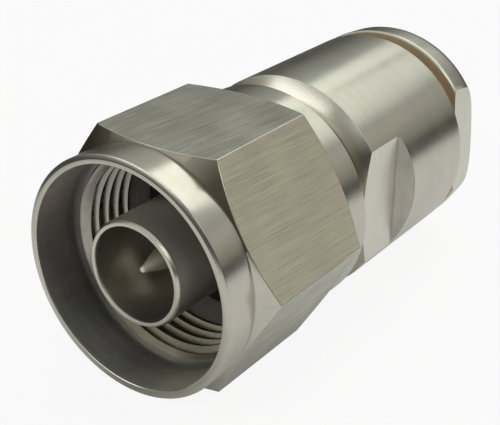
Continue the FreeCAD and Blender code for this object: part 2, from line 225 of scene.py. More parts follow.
def turnedFinish(name, colour=nickel, roughness=0.21, markHeight=0.0012, grain=0.0, markPitch=0.07,
                 contrast=0.09, metallic=1.0, fade=None):
    # fine rings from the lathe, laid along the outline whichever way it runs
    finish = Finish(name, colour, roughness, metallic)
    x, y, z = finish.place()
    radius = finish.node("ShaderNodeMath", {"operation": "SQRT"}, {0: y * y + z * z}).outputs[0]
    radius = Signal(finish, radius)
    along = x + ringLean * radius
    marks = finish.noise(along * (1 / markPitch), y * 0.12, z * 0.12, 3.0, 0.65)
    bands = finish.noise(along * 2.1, y * 0.05, z * 0.05, 1.0)
    clouds = finish.noise(x * 0.32, y * 0.32, z * 0.32, 3.0, 0.6)
    stain = finish.noise(x * 0.04, y * 0.45, z * 0.45, 2.0)
    speckle = finish.noise(x * 9, y * 9, z * 9, 2.0, 0.7)
    tone = 0.55 * clouds + 0.15 * bands + 0.3 * marks
    shade = finish.tint(finish.clamp(tone, 0.3, 0.7), shaded(colour, 1 - contrast),
                        shaded(colour, 1 + 0.8 * contrast))
    warmth = finish.tint(finish.clamp(stain, 0.35, 0.65), (0.975, 1.0, 0.975), (1.03, 0.985, 0.98))
    painted = finish.multiply(shade, warmth)
    if fade:
        # from plain to darker, over a range of depth along the axis, height or angle from the top: painted
        # shade on the chamfer, in the bore and on the front corners, and a darkening towards the bottom in
        # the thread
        fromTop = z.math("ARCTAN2", y.math("ABSOLUTE", y), z)
        measure = {"depth": x, "height": z, "angle": fromTop}[fade["over"]]
        stained = finish.tint(finish.clamp(measure, *fade["range"]), (1, 1, 1), fade["stain"])
        painted = finish.multiply(painted, stained)
    finish.paint(painted, roughness - 0.07 + 0.08 * clouds + 0.06 * marks)
    finish.bump(marks * markHeight + speckle * grain, mm)
    return finish.material


# of a pair, the second number is added on every other flat and taken off on the flats between
brushing = {"slant": (4.2, 1.3), "strength": (1.7, 0.8), "depth": 0.024}


def brushedFinish(name, colour=nickel, roughness=0.36):
    # lengthwise scratches on each flat of the hexagon, slanted a little and not alike on all flats; every
    # other flat is also painted lighter and warmer: painted light
    finish = Finish(name, colour, roughness)
    x, y, z = finish.place()
    side = Signal(finish, finish.node("ShaderNodeMath", {"operation": "ARCTAN2"}, {0: y, 1: z}).outputs[0])
    count = side.math("ROUND", side * (3 / math.pi))
    angle = count * (math.pi / 3)
    across = z * angle.math("SINE", angle) - y * angle.math("COSINE", angle)
    everyOther = angle.math("COSINE", count * math.pi)
    slant = math.radians(brushing["slant"][0]) + math.radians(brushing["slant"][1]) * everyOther
    cosine, sine = angle.math("COSINE", slant), angle.math("SINE", slant)
    overScratch = across * cosine - x * sine
    alongScratch = x * cosine + across * sine
    coarse = finish.noise(alongScratch * 0.1, overScratch * 8, count * 7.3, 4.0, 0.62)
    fine = finish.noise(alongScratch * 0.25, overScratch * 20, count * 3.1, 3.0, 0.6)
    clouds = finish.noise(x * 0.22, y * 0.22, z * 0.22, 2.0)
    tone = 0.35 * coarse + 0.47 * fine + 0.18 * clouds
    strength = brushing["strength"][0] + brushing["strength"][1] * everyOther
    shade = finish.tint(finish.clamp((tone - 0.5) * strength, -0.17, 0.17),
                        shaded(colour, 0.68), shaded(colour, 1.2))
    # every other flat is lighter and warmer: painted light
    warmth = finish.tint(finish.clamp(everyOther, -1.0, 1.0), (1.37, 1.305, 1.19), (0.99, 0.995, 0.965))
    finish.paint(finish.multiply(shade, warmth),
                 roughness - 0.06 - 0.06 * everyOther + 0.16 * coarse + 0.08 * clouds)
    finish.bump(0.45 * coarse + 0.55 * fine, mm * brushing["depth"])
    return finish.material


def milledFinish(name, colour=nickel, roughness=0.3, grain=0.002, contrast=0.06):
    # an even, slightly grainy face left by an end mill
    finish = Finish(name, colour, roughness)
    x, y, z = finish.place()
    grains = finish.noise(x * 11, y * 11, z * 11, 3.0, 0.7)
    arcs = finish.noise(x * 3.2, z * 0.4, y * 0.4, 2.0, 0.6)
    clouds = finish.noise(x * 0.4, y * 0.4, z * 0.4, 2.0)
    finish.paint(finish.tint(finish.clamp(0.4 * grains + 0.3 * arcs + 0.3 * clouds, 0.35, 0.65),
                             shaded(colour, 1 - contrast), shaded(colour, 1 + contrast)),
                 roughness - 0.05 + 0.1 * grains)
    finish.bump(grains, mm * grain)
    return finish.material


def waxyFinish(name, colour, roughness=0.42):
    finish = Finish(name, colour, roughness, metallic=0.0)
    x, y, z = finish.place()
    marks = finish.noise(x * 9, y * 0.8, z * 0.8, 2.0)
    clouds = finish.noise(x * 0.5, y * 0.5, z * 0.5, 3.0)
    finish.paint(finish.tint(clouds, shaded(colour, 0.93), colour), roughness - 0.05 + 0.1 * marks)
    finish.bump(marks, mm * 0.004)
    return finish.material


def rubberFinish(name, colour, roughness=0.62):
    finish = Finish(name, colour, roughness, metallic=0.0)
    x, y, z = finish.place()
    grains = finish.noise(x * 6, y * 6, z * 6, 4.0, 0.7)
    dust = finish.noise(x * 1.3, y * 1.3, z * 1.3, 3.0)
    finish.paint(finish.tint(finish.clamp(0.5 * dust + 0.5 * grains, 0.4, 0.7), shaded(colour, 0.8),
                             shaded(colour, 1.4)), roughness - 0.06 + 0.12 * grains)
    finish.bump(grains, mm * 0.02)
    return finish.material


# a darkening grows over a range of the angle from the top in radians, or of height or depth in millimetres;
# on the chamfer, in the bore and on the front corners it is painted shade
undersideStain = {"over": "angle", "range": (0.9, 1.0), "stain": (0.74, 0.71, 0.68)}
lowStain = {"over": "height", "range": (-3.0, -7.2), "stain": (0.85, 0.80, 0.68)}
coneStain = {"over": "height", "range": (-3.0, -7.2), "stain": (0.32, 0.29, 0.245)}
deepStain = {"over": "depth", "range": (1.9, 3.1), "stain": (0.5, 0.49, 0.47)}
cornerStain = {"over": "angle", "range": (0.36, 0.62), "stain": (0.5, 0.45, 0.40)}

finishes = {
    "turned": turnedFinish("turnedNickel"),
    "barrel": turnedFinish("barrelNickel", roughness=0.235, markHeight=0.0009),
    "grainy": turnedFinish("grainyNickel", roughness=0.2, grain=0.006),
    # the chamfer darkens towards the wrench flats: painted shade
    "chamfer": turnedFinish("chamferNickel", roughness=0.2, grain=0.006, fade=undersideStain),
    # the two upper front corner facets are dark and darken further to the side: painted shade
    "corner": turnedFinish("cornerPaintedShadeNickel", colour=(0.30, 0.272, 0.225), roughness=0.36, fade=cornerStain),
    # the bore is coloured lighter than nickel, painted light, and darkens with depth, painted shade
    "inside": turnedFinish("boredNickel", colour=(0.84, 0.835, 0.825), roughness=0.42, markHeight=0.0016,
                           markPitch=0.12, contrast=0.26, fade=deepStain),
    "contactBore": turnedFinish("contactBorePlating", colour=(0.70, 0.675, 0.64), roughness=0.32,
                                markHeight=0.0016, markPitch=0.12, contrast=0.2),
    # the thread, and more strongly its lead-in, get darker towards the bottom
    "thread": turnedFinish("threadNickel", colour=shaded(nickel, 0.92), roughness=0.27, markPitch=0.05,
                           fade=lowStain),
    "leadIn": turnedFinish("leadInNickel", colour=shaded(nickel, 0.92), roughness=0.36, markPitch=0.05,
                           contrast=0.45, fade=coneStain),
    # the shoulder in the gap behind the nut is dark: painted shade
    "foot": turnedFinish("footPaintedShadeNickel", colour=(0.20, 0.19, 0.168), roughness=0.3),
    # the wall behind the thread is near white and partly diffuse: painted light
    "relief": turnedFinish("reliefPaintedLightNickel", colour=(0.97, 0.94, 0.90), roughness=0.7, metallic=0.6),
    "brushed": brushedFinish("brushedNickel"),
    "milled": milledFinish("milledNickel", colour=shaded(nickel, 1.24)),
    # the run-out takes a darker nickel; on the fillet's crease this is painted shade
    "runOut": milledFinish("runOutNickel", colour=pickledNickel, roughness=0.38, grain=0.05,
                           contrast=0.2),
    "flange": turnedFinish("flangeNickel", colour=shaded(nickel, 1.24), roughness=0.23),
    "gap": turnedFinish("thinlyPlatedBrass", colour=(0.72, 0.60, 0.45), roughness=0.55),
    "contact": turnedFinish("contactPlating", colour=(0.66, 0.645, 0.56), roughness=0.22),
    "contactSide": turnedFinish("contactSidePlating", colour=(0.67, 0.66, 0.635), roughness=0.3),
    "pin": turnedFinish("pinPlating", colour=(0.95, 0.92, 0.79), roughness=0.42),
    "spring": turnedFinish("springBronze", colour=(0.55, 0.46, 0.33), roughness=0.3),
    "ptfe": waxyFinish("whiteInsulator", (0.86, 0.86, 0.83)),
    "rubber": rubberFinish("blackRubber", (0.035, 0.034, 0.033)),
}
print("finishes made:", len(finishes))


# mesh tools

def turnOutline(bm, outline, closed=True):
    # corners are (station, radius) or (station, radius, rounding); the outline is spun about the X axis
    verts = [bm.verts.new((corner[0] * mm, 0, corner[1] * mm)) for corner in outline]
    pairs = list(zip(verts, verts[1:] + (verts[:1] if closed else [])))
    edges = [bm.edges.new(pair) for pair in pairs]
    roundings = {corner[2] for corner in outline if len(corner) > 2}
    byRounding = {size: [v for v, corner in zip(verts, outline) if len(corner) > 2 and corner[2] == size]
                  for size in roundings}
    for size, group in sorted(byRounding.items()):
        bmesh.ops.bevel(bm, geom=group, offset=size * mm, offset_type="OFFSET", segments=3, profile=0.5,
                        affect="VERTICES", material=-1)
    bmesh.ops.spin(bm, geom=bm.verts[:] + bm.edges[:], cent=(0, 0, 0), axis=(1, 0, 0), dvec=(0, 0, 0),
                   angle=2 * math.pi, steps=roundSteps, use_merge=True)
    bmesh.ops.remove_doubles(bm, verts=bm.verts, dist=hair)
    bmesh.ops.recalc_face_normals(bm, faces=bm.faces)


def distanceTo(plane, point):
    place, normal = plane
    return (point - place).dot(normal)


def roundEdges(bm, edges, size, segments, faceIndex):
    made = bmesh.ops.bevel(bm, geom=edges, offset=size * mm, offset_type="OFFSET", segments=segments,
                           profile=0.5, affect="EDGES", material=-1)
    for face in made["faces"]:
        face.material_index = faceIndex


def millAway(bm, planes, faceIndex):
    # removes what lies beyond all the planes, and closes each plane's cut with a face
    touched = [face for face in bm.faces
               if all(max(distanceTo(plane, v.co) for v in face.verts) > -hair for plane in planes)]
    for place, normal in planes:
        around = set(touched)
        around.update(edge for face in touched for edge in face.edges)
        around.update(vert for face in touched for vert in face.verts)
        cut = bmesh.ops.bisect_plane(bm, geom=list(around), dist=hair, plane_co=place, plane_no=normal)
        touched = list({item for item in cut["geom"] if isinstance(item, bmesh.types.BMFace)})
    beyond = [face for face in bm.faces
              if all(distanceTo(plane, face.calc_center_median()) > -hair for plane in planes)]
    bmesh.ops.delete(bm, geom=beyond, context="FACES")
    made = []
    for index, plane in zip(faceIndex, planes):
        rim = [edge for edge in bm.edges if edge.is_boundary
               and all(abs(distanceTo(plane, v.co)) < 2 * hair for v in edge.verts)]
        ends = [vert for vert in {v for edge in rim for v in edge.verts}
                if sum(edge in rim for edge in vert.link_edges) == 1]
        if len(ends) == 2:
            bridge = bm.edges.get(ends) or bm.edges.new(ends)
            rim.append(bridge)
        if not rim:
            continue
        for face in bmesh.ops.contextual_create(bm, geom=rim)["faces"]:
            face.material_index = index
            made.append(face)
    return made


def windThread(bm, thread):
    # spins a thread's outline with a rise of one pitch a turn, then trims it to its two ends
    pitch, crest, depth = thread["pitch"], thread["crestRadius"], thread["depth"]
    flank = thread["flank"]
    flat = (pitch - 2 * flank) / 2
    quarters = [0, 0.25, 0.5, 0.75]
    oneTurn = [(0, 0), (flat / 2, 0)]
    oneTurn += [(flat + flank * share, share) for share in quarters]
    oneTurn += [(flat + flank, 1), (1.5 * flat + flank, 1)]
    oneTurn += [(2 * flat + flank * (1 + share), 1 - share) for share in quarters]
    start, end = thread["from"], thread["to"]
    turns = math.ceil((end - start) / pitch) + 2
    verts = [bm.verts.new(((start + thread["phase"] + (turn - 1) * pitch + along) * mm, 0,
                           (crest + depth * share) * mm))
             for turn in range(turns) for along, share in oneTurn]
    edges = [bm.edges.new(pair) for pair in zip(verts, verts[1:])]
    before = set(bm.verts) - set(verts)
    bmesh.ops.spin(bm, geom=verts + edges, cent=(0, 0, 0), axis=(1, 0, 0),
                   dvec=(-pitch / roundSteps * mm, 0, 0), angle=-2 * math.pi, steps=roundSteps,
                   use_merge=False)
    for vert in set(bm.verts) - before:
        station, radius = vert.co.x / mm, math.hypot(vert.co.y, vert.co.z) / mm
        cone = thread["leadRadius"] + thread["leadSlope"] * max(station - start, 0)
        wanted = max(radius, cone) if thread["leadSlope"] < 0 else min(radius, cone)
        if station < start + slack:
            station, wanted = start, thread["leadRadius"]
        if station > end - slack:
            station, wanted = end, thread["endRadius"]
        vert.co = (station * mm, vert.co.y * wanted / radius, vert.co.z * wanted / radius)
    bmesh.ops.remove_doubles(bm, verts=bm.verts, dist=2 * hair)
    bmesh.ops.dissolve_degenerate(bm, edges=bm.edges, dist=hair)
    loose = [edge for edge in bm.edges if not edge.link_faces]
    bmesh.ops.delete(bm, geom=loose, context="EDGES")
    bmesh.ops.recalc_face_normals(bm, faces=bm.faces)


drillSides = 48


def drillDown(bm, station, radius, top):
    # a round hole from above down to the axis, cut with a boolean because bmesh has no operator for it
    drill = bmesh.new()
    bmesh.ops.create_cone(drill, cap_ends=True, segments=drillSides, radius1=radius * mm,
                          radius2=radius * mm, depth=top * mm,
                          matrix=Matrix.Translation((station * mm, 0, top / 2 * mm)))
    solids = []
    for name, shape in (("drilled", bm), ("drill", drill)):
        mesh = bpy.data.meshes.new(name)
        shape.to_mesh(mesh)
        solids.append(bpy.data.objects.new(name, mesh))
        bpy.context.scene.collection.objects.link(solids[-1])
    drill.free()
    hole = solids[0].modifiers.new("hole", "BOOLEAN")
    hole.operation = "DIFFERENCE"
    hole.solver = "EXACT"
    hole.object = solids[1]
    cut = solids[0].evaluated_get(bpy.context.evaluated_depsgraph_get())
    bm.clear()
    bm.from_mesh(cut.to_mesh())
    for solid in solids:
        bpy.data.meshes.remove(solid.data)


def finishPiece(name, bm, body, node, materials, sharpAngle=28):
    # makes the object, marks its sharp edges, and lets it stand for its CAD node
    mesh = bpy.data.meshes.new(name)
    bmesh.ops.recalc_face_normals(bm, faces=bm.faces)
    bm.to_mesh(mesh)
    bm.free()
    for key in materials:
        mesh.materials.append(finishes[key])
    mesh.shade_smooth()
    mesh.set_sharp_from_angle(angle=math.radians(sharpAngle))
    piece = bpy.data.objects.new(name, mesh)
    bpy.context.scene.collection.objects.link(piece)
    weighted = piece.modifiers.new("evenShading", "WEIGHTED_NORMAL")
    weighted.keep_sharp = True
    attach(piece, body)
    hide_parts(node)
    print("piece", name, len(mesh.polygons), "faces")


def between(face, low, high):
    return low * mm - hair <= face.calc_center_median().x <= high * mm + hair


def numbered(keys):
    # the finishes of a piece, each with its place in the mesh's list
    return {key: index for index, key in enumerate(keys)}


def radiusOf(face):
    centre = face.calc_center_median()
    return math.hypot(centre.y, centre.z) / mm


# coupling nut

couplingNut = {
    "collarEnd": 2.8, "hexEnd": 14.4, "rearEnd": 16.8,
    "collar": 8.975, "collarRoot": 8.90, "flat": 9.0, "rearCollar": 8.95, "bar": 10.6,
    "bevelWidth": 0.3, "bevelDepth": 0.15, "chamferSlope": math.tan(math.radians(30)),
    "bore": 8.3, "boreDepth": 4.15, "lead": 8.0, "threadStart": 4.7, "threadEnd": 9.0,
    "crest": 7.43, "threadDepth": 0.5075, "pitch": 25.4 / 24, "threadPhase": 0.56,
    "relief": 8.1, "webFront": 14.35, "webBore": 7.06, "edge": 0.05, "hexEdge": 0.05, "flatEdge": 0.045,
    "mouthEdge": 0.1, "rearEdge": 0.12, "collarTaper": 0.5, "flank": 0.29,
    "paintedShadeAbove": 4,       # the two front corner facets above this height are painted darker: painted shade
    "longEdge": 5,        # an edge between two flats that is longer than this is a corner of the hexagon
}


def makeCouplingNut(nut):
    offset = nutLow.x / mm
    bm = bmesh.new()
    rise = nut["bar"] - nut["collarRoot"]
    rearRise = nut["bar"] - nut["rearCollar"]
    turnOutline(bm, [
        (offset + nut["boreDepth"], nut["lead"]),
        (offset + nut["boreDepth"], nut["bore"]),
        (offset, nut["bore"], nut["mouthEdge"]),
        (offset, nut["collar"] - nut["bevelWidth"], nut["edge"]),
        (offset + nut["bevelDepth"], nut["collar"], nut["edge"]),
        (offset + nut["collarEnd"] - nut["collarTaper"], nut["collar"]),
        (offset + nut["collarEnd"], nut["collarRoot"]),
        (offset + nut["collarEnd"] + rise * nut["chamferSlope"], nut["bar"]),
        (offset + nut["hexEnd"] - rearRise * nut["chamferSlope"], nut["bar"]),
        (offset + nut["hexEnd"], nut["rearCollar"]),
        (offset + nut["rearEnd"], nut["rearCollar"], nut["rearEdge"]),
        (offset + nut["rearEnd"], nut["webBore"], nut["edge"]),
        (offset + nut["webFront"], nut["webBore"], nut["edge"]),
        (offset + nut["webFront"], nut["relief"]),
        (offset + nut["threadEnd"], nut["relief"]),
    ], closed=False)
    windThread(bm, {
        "from": offset + nut["boreDepth"], "to": offset + nut["threadEnd"], "phase": nut["threadPhase"],
        "crestRadius": nut["crest"], "depth": nut["threadDepth"], "pitch": nut["pitch"],
        "flank": nut["flank"], "leadRadius": nut["lead"], "endRadius": nut["relief"],
        "leadSlope": (nut["crest"] - nut["lead"]) / (nut["threadStart"] - nut["boreDepth"]),
    })
    at = numbered(["turned", "brushed", "inside", "thread", "grainy", "corner", "relief", "leadIn"])
    # faces are told apart by where their centres lie, with up to 0.1 mm to spare
    for face in bm.faces:
        radius = radiusOf(face)
        if radius < nut["bore"] + 0.02 and between(face, offset + 0.05, offset + nut["webFront"]):
            thread = between(face, offset + nut["boreDepth"] + 0.01, offset + nut["threadEnd"])
            relief = between(face, offset + nut["threadEnd"] + 0.01, offset + nut["webFront"])
            leadIn = thread and between(face, offset + nut["boreDepth"], offset + nut["threadStart"])
            key = "leadIn" if leadIn else "thread" if thread else "relief" if relief else "inside"
            face.material_index = at[key]
        elif between(face, offset + nut["hexEnd"] + 0.1, offset + nut["rearEnd"]):
            face.material_index = at["grainy"]
        # front corner facets high on the nut get the dark corner finish: painted shade
        elif radius > nut["collar"] - 0.05 and face.calc_center_median().z > nut["paintedShadeAbove"] * mm and \
                between(face, offset + nut["collarEnd"] + 0.02, offset + nut["hexEnd"] / 2):
            face.material_index = at["corner"]
    for side in range(6):
        angle = math.radians(60 * side)
        normal = Vector((0, math.sin(angle), math.cos(angle)))
        millAway(bm, [(normal * nut["flat"] * mm, normal)], [at["brushed"]])
    corners = [edge for edge in bm.edges
               if edge.calc_length() > nut["longEdge"] * mm and len(edge.link_faces) == 2
               and all(face.material_index == at["brushed"] for face in edge.link_faces)]
    roundEdges(bm, corners, nut["hexEdge"], 3, at["turned"])
    rims = [edge for edge in bm.edges if {face.material_index for face in edge.link_faces}
            in ({at["turned"], at["brushed"]}, {at["corner"], at["brushed"]})]
    roundEdges(bm, rims, nut["flatEdge"], 2, at["turned"])
    finishPiece("couplingNut", bm, "coupling_nut", "coupling_nut", at, sharpAngle=17)


makeCouplingNut(couplingNut)


# shell

shellSizes = {
    "neck": 7.0, "groove": 6.35, "grooveFront": 12.4, "grooveRear": 13.2, "shoulderFront": 16.1,
    "shoulder": 7.6, "chamferFront": 17.65, "barrel": 8.95, "chamferSlope": math.tan(math.radians(30)),
    "threadBore": 7.95, "clampBore": 6.5, "clampBoreEnd": 23.6, "seat": 18.2, "sleeveSeat": 5.01,
    "flat": 7.63, "slopeEnd": 23.43, "runOut": 0.85, "fillet": 0.33, "edge": 0.05,
    "frontEdge": 0.1, "chamferEdge": 0.03, "rearEdge": 0.15,
    "behindSlope": 0.15,  # a ring of points behind the flats, so that their cut ends there
    "longer": 0.40,       # the barrel reaches a little further over the clamp nut's thread than its solid
}


def makeShell(shell):
    low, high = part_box("shell")
    front, rear = low.x / mm, high.x / mm + shell["longer"]
    chamferRear = shell["chamferFront"] + (shell["barrel"] - shell["shoulder"]) * shell["chamferSlope"]
    bm = bmesh.new()
    turnOutline(bm, [
        (front, shell["neck"], shell["frontEdge"]),
        (shell["grooveFront"], shell["neck"], shell["edge"]),
        (shell["grooveFront"], shell["groove"]),
        (shell["grooveRear"], shell["groove"]),
        (shell["grooveRear"], shell["neck"], shell["edge"]),
        (shell["shoulderFront"], shell["neck"]),
        (shell["shoulderFront"], shell["shoulder"], shell["edge"]),
        (shell["chamferFront"], shell["shoulder"]),
        (chamferRear, shell["barrel"], shell["chamferEdge"]),
        (shell["slopeEnd"] + shell["behindSlope"], shell["barrel"]),
        (rear, shell["barrel"], shell["rearEdge"]),
        (rear, shell["threadBore"], shell["edge"]),
        (shell["clampBoreEnd"], shell["threadBore"]),
        (shell["clampBoreEnd"], shell["clampBore"]),
        (shell["seat"], shell["clampBore"]),
        (shell["seat"], shell["sleeveSeat"]),
        (front, shell["sleeveSeat"], shell["edge"]),
    ])
    at = numbered(["barrel", "milled", "chamfer", "runOut", "foot"])
    for face in bm.faces:
        if between(face, shell["chamferFront"] + 0.05, chamferRear - 0.04):
            face.material_index = at["chamfer"] if radiusOf(face) > shell["shoulder"] else at["barrel"]
        # the shoulder and neck behind the nut get the dark foot finish: painted shade
        elif between(face, shell["shoulderFront"], shell["chamferFront"]) and radiusOf(face) > shell["neck"]:
            face.material_index = at["foot"]
    flatEnd = shell["slopeEnd"] - shell["runOut"]
    slope = Vector((-(shell["barrel"] - shell["flat"]), 0, shell["runOut"])).normalized()
    for sign in (-1, 1):
        flatPlane = (Vector((flatEnd, sign * shell["flat"], 0)) * mm, Vector((0, sign, 0)))
        slopePlane = (flatPlane[0], Vector((slope.x, sign * slope.z, 0)))
        made = millAway(bm, [flatPlane, slopePlane], [at["milled"], at["runOut"]])
        foot = [edge for edge in made[0].edges if edge in made[1].edges[:]]
        # the fillet takes the run-out's darker finish: painted shade in the crease
        roundEdges(bm, foot, shell["fillet"], 5, at["runOut"])
    finishPiece("plugShell", bm, "shell", "shell", at)


makeShell(shellSizes)


# clamp nut

clampNut = {
    "nose": 7.9, "flangeFront": 32.95, "flange": 8.95, "flangeRear": 8.80, "rounding": 1.5, "bore": 4.2,
    "leadIn": 0.4, "flat": 7.6, "turn": -4.0, "pitch": 1.0, "threadDepth": 0.5, "plainStub": 0.5,
    "frontEdge": 0.3, "edge": 0.05, "flank": 0.29, "leadSlope": 0.9,
    "crestGap": 0.001,    # the crests lie just under the plain stub's surface
}


def makeClampNut(nut):
    low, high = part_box("clamp_nut")
    front, rear = low.x / mm, high.x / mm
    arcSteps = 9
    rounding = []
    for i in range(arcSteps + 1):
        angle = math.pi / 2 * i / arcSteps
        rounding.append((rear - nut["rounding"] * (1 - math.sin(angle)),
                         nut["flangeRear"] - nut["rounding"] * (1 - math.cos(angle))))
    bm = bmesh.new()
    turnOutline(bm, [
        (nut["flangeFront"] - nut["plainStub"], nut["nose"]),
        (nut["flangeFront"], nut["nose"]),
        (nut["flangeFront"], nut["flange"], nut["frontEdge"]),
        *rounding,
        (rear, nut["bore"] + nut["leadIn"], nut["edge"]),
        (rear - nut["leadIn"], nut["bore"], nut["edge"]),
        (front, nut["bore"], nut["edge"]),
        (front, nut["nose"] - nut["threadDepth"]),
    ], closed=False)
    windThread(bm, {
        "from": front, "to": nut["flangeFront"] - nut["plainStub"], "phase": 0.0,
        "crestRadius": nut["nose"] - nut["crestGap"], "depth": -nut["threadDepth"], "pitch": nut["pitch"],
        "flank": nut["flank"], "leadRadius": nut["nose"] - nut["threadDepth"], "endRadius": nut["nose"],
        "leadSlope": nut["leadSlope"],
    })
    at = numbered(["flange", "milled", "gap", "contactBore"])
    for face in bm.faces:
        if between(face, front - 0.1, nut["flangeFront"] + 0.02):
            face.material_index = at["gap"]
        if radiusOf(face) < nut["bore"] + 0.3:
            face.material_index = at["contactBore"]
    turn = math.radians(nut["turn"])
    for sign in (-1, 1):
        normal = Vector((0, sign * math.cos(turn), sign * math.sin(turn)))
        flatPlane = (normal * nut["flat"] * mm, normal)
        stepPlane = (Vector((nut["flangeFront"] * mm, 0, 0)), Vector((1, 0, 0)))
        millAway(bm, [flatPlane, stepPlane], [at["milled"], at["flange"]])
    finishPiece("clampNut", bm, "clamp_nut", "clamp_nut", at)


makeClampNut(clampNut)


# outer contact

outerContact = {"outside": 4.0, "bore": 3.5, "root": 4.6, "rootFront": 9.9,
                "sleeveFront": 11.6, "sleeve": 5.0, "bevelWidth": 0.15, "bevelDepth": 0.22,
                "mouthWidth": 0.09, "mouthDepth": 0.25, "rimEdge": 0.02, "bevelEdge": 0.03, "edge": 0.05}


def makeOuterContact(contact):
    low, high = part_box("outer_contact")
    front, rear = low.x / mm, high.x / mm
    bm = bmesh.new()
    turnOutline(bm, [
        (front, contact["outside"] - contact["bevelWidth"], contact["rimEdge"]),
        (front + contact["bevelDepth"], contact["outside"], contact["bevelEdge"]),
        (contact["rootFront"], contact["outside"]),
        (contact["rootFront"], contact["root"], contact["edge"]),
        (contact["sleeveFront"], contact["root"]),
        (contact["sleeveFront"], contact["sleeve"], contact["edge"]),
        (rear, contact["sleeve"], contact["edge"]),
        (rear, contact["bore"], contact["edge"]),
        (front + contact["mouthDepth"], contact["bore"]),
        (front, contact["bore"] + contact["mouthWidth"], contact["rimEdge"]),
    ])
    at = numbered(["contact", "contactBore", "contactSide"])
    for face in bm.faces:
        if radiusOf(face) < contact["bore"] + contact["mouthWidth"] - 0.02:
            face.material_index = at["contactBore"]
        elif between(face, front + contact["bevelDepth"] + 0.02, rear):
            face.material_index = at["contactSide"]
    finishPiece("outerContact", bm, "shell", "outer_contact", at)


makeOuterContact(outerContact)


# centre contact

centreContact = {"tip": 0.2, "coneLength": 2.1, "pin": 0.825, "pinLength": 4.43, "stem": 1.52,
                 "collarFront": 15.4, "collarRear": 16.4, "collar": 2.2, "cup": 0.95, "cupDepth": 3.4,
                 "solderHole": 0.4, "solderHoleInset": 1.4, "tipEdge": 0.1, "coneEdge": 0.2,
                 "stemEdge": 0.12, "edge": 0.05, "rearEdge": 0.06}


def makeCentreContact(contact):
    low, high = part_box("centre_contact")
    front, rear = low.x / mm, high.x / mm
    bm = bmesh.new()
    turnOutline(bm, [
        (front, 0),
        (front, contact["tip"], contact["tipEdge"]),
        (front + contact["coneLength"], contact["pin"], contact["coneEdge"]),
        (front + contact["pinLength"], contact["pin"]),
        (front + contact["pinLength"], contact["stem"], contact["stemEdge"]),
        (contact["collarFront"], contact["stem"]),
        (contact["collarFront"], contact["collar"], contact["edge"]),
        (contact["collarRear"], contact["collar"], contact["edge"]),
        (contact["collarRear"], contact["stem"]),
        (rear, contact["stem"], contact["rearEdge"]),
        (rear, contact["cup"], contact["rearEdge"]),
        (rear - contact["cupDepth"], contact["cup"]),
        (rear - contact["cupDepth"], 0),
    ], closed=False)
    drillDown(bm, rear - contact["solderHoleInset"], contact["solderHole"], 2 * contact["stem"])
    finishPiece("centreContact", bm, "shell", "centre_contact", ["pin"])


makeCentreContact(centreContact)


# rings, beads and gaskets

def makeRing(name, node, body, finish, outline):
    bm = bmesh.new()
    turnOutline(bm, outline)
    finishPiece(name, bm, body, node, [finish])


innerPieces = {"nose": 3.47, "flange": 4.98, "hole": 1.55, "gasketBore": 4.65, "gasketOutside": 6.9,
               "clampOutside": 6.4, "clampBore": 3.0, "taperNose": 4.6, "taper": 0.8, "ridge": 5.2,
               "clampGasketBore": 4.0, "beadFlange": 1.8, "ridgeHeight": 0.6, "ridgeHalf": 0.5,
               "grooveDepth": 0.7, "grooveHalf": 0.6}


def makeInnerPieces(sizes):
    low, high = (corner.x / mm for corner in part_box("front_insulator"))
    makeRing("frontBead", "front_insulator", "shell", "ptfe", [
        (low, sizes["hole"], 0.1), (low, sizes["nose"], 0.12), (high - sizes["beadFlange"], sizes["nose"]),
        (high - sizes["beadFlange"], sizes["flange"], 0.05), (high, sizes["flange"], 0.05),
        (high, sizes["hole"], 0.05)])
    low, high = (corner.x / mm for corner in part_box("front_gasket"))
    makeRing("frontGasket", "front_gasket", "shell", "rubber", [
        (low, sizes["gasketBore"], 0.12), (low, sizes["gasketOutside"], 0.2),
        (high, sizes["gasketOutside"], 0.12), (high, sizes["gasketBore"], 0.1)])
    low, high = (corner.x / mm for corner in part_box("braid_clamp"))
    back = high - sizes["ridgeHeight"]
    makeRing("braidClamp", "braid_clamp", "shell", "turned", [
        (low, sizes["clampBore"], 0.15), (low, sizes["taperNose"], 0.08),
        (low + sizes["taper"], sizes["clampOutside"], 0.08), (back, sizes["clampOutside"], 0.08),
        (back, sizes["ridge"] + sizes["ridgeHalf"]), (high, sizes["ridge"], 0.05),
        (back, sizes["ridge"] - sizes["ridgeHalf"]), (back, sizes["clampBore"], 0.12)])
    low, high = (corner.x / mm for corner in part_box("clamp_gasket"))
    makeRing("clampGasket", "clamp_gasket", "shell", "rubber", [
        (low, sizes["clampGasketBore"], 0.15), (low, sizes["ridge"] - sizes["grooveHalf"]),
        (low + sizes["grooveDepth"], sizes["ridge"]), (low, sizes["ridge"] + sizes["grooveHalf"]),
        (low, sizes["clampOutside"], 0.1), (high, sizes["clampOutside"], 0.2),
        (high, sizes["clampGasketBore"], 0.3)])


makeInnerPieces(innerPieces)


# plain inner nodes keep their solids and get their finish

def dressNode(node, finish):
    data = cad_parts[node].data
    data.materials.clear()
    data.materials.append(finishes[finish])


dressNode("retaining_ring", "spring")
dressNode("rear_insulator", "ptfe")
dressNode("thrust_washer", "turned")
print("inner nodes dressed")


# floor and light

# lengths in metres; glows say how bright metal mirrors the floor, and shares how much of the floor's own
# light takes the place of its lit surface
studio = {
    "floorSize": 6.0, "paperCentre": (0.0, -0.07, 0.0), "paperGlow": 0.8, "tableGlow": 0.1,
    "paperEdge": 0.085, "tableEdge": 0.14, "cameraShare": 0.9, "mirrorShare": 0.55,
    "shadowWidth": 0.014, "shadowAlong": (0.006, 0.026), "shadowGlow": (0.15, 0.75),
}


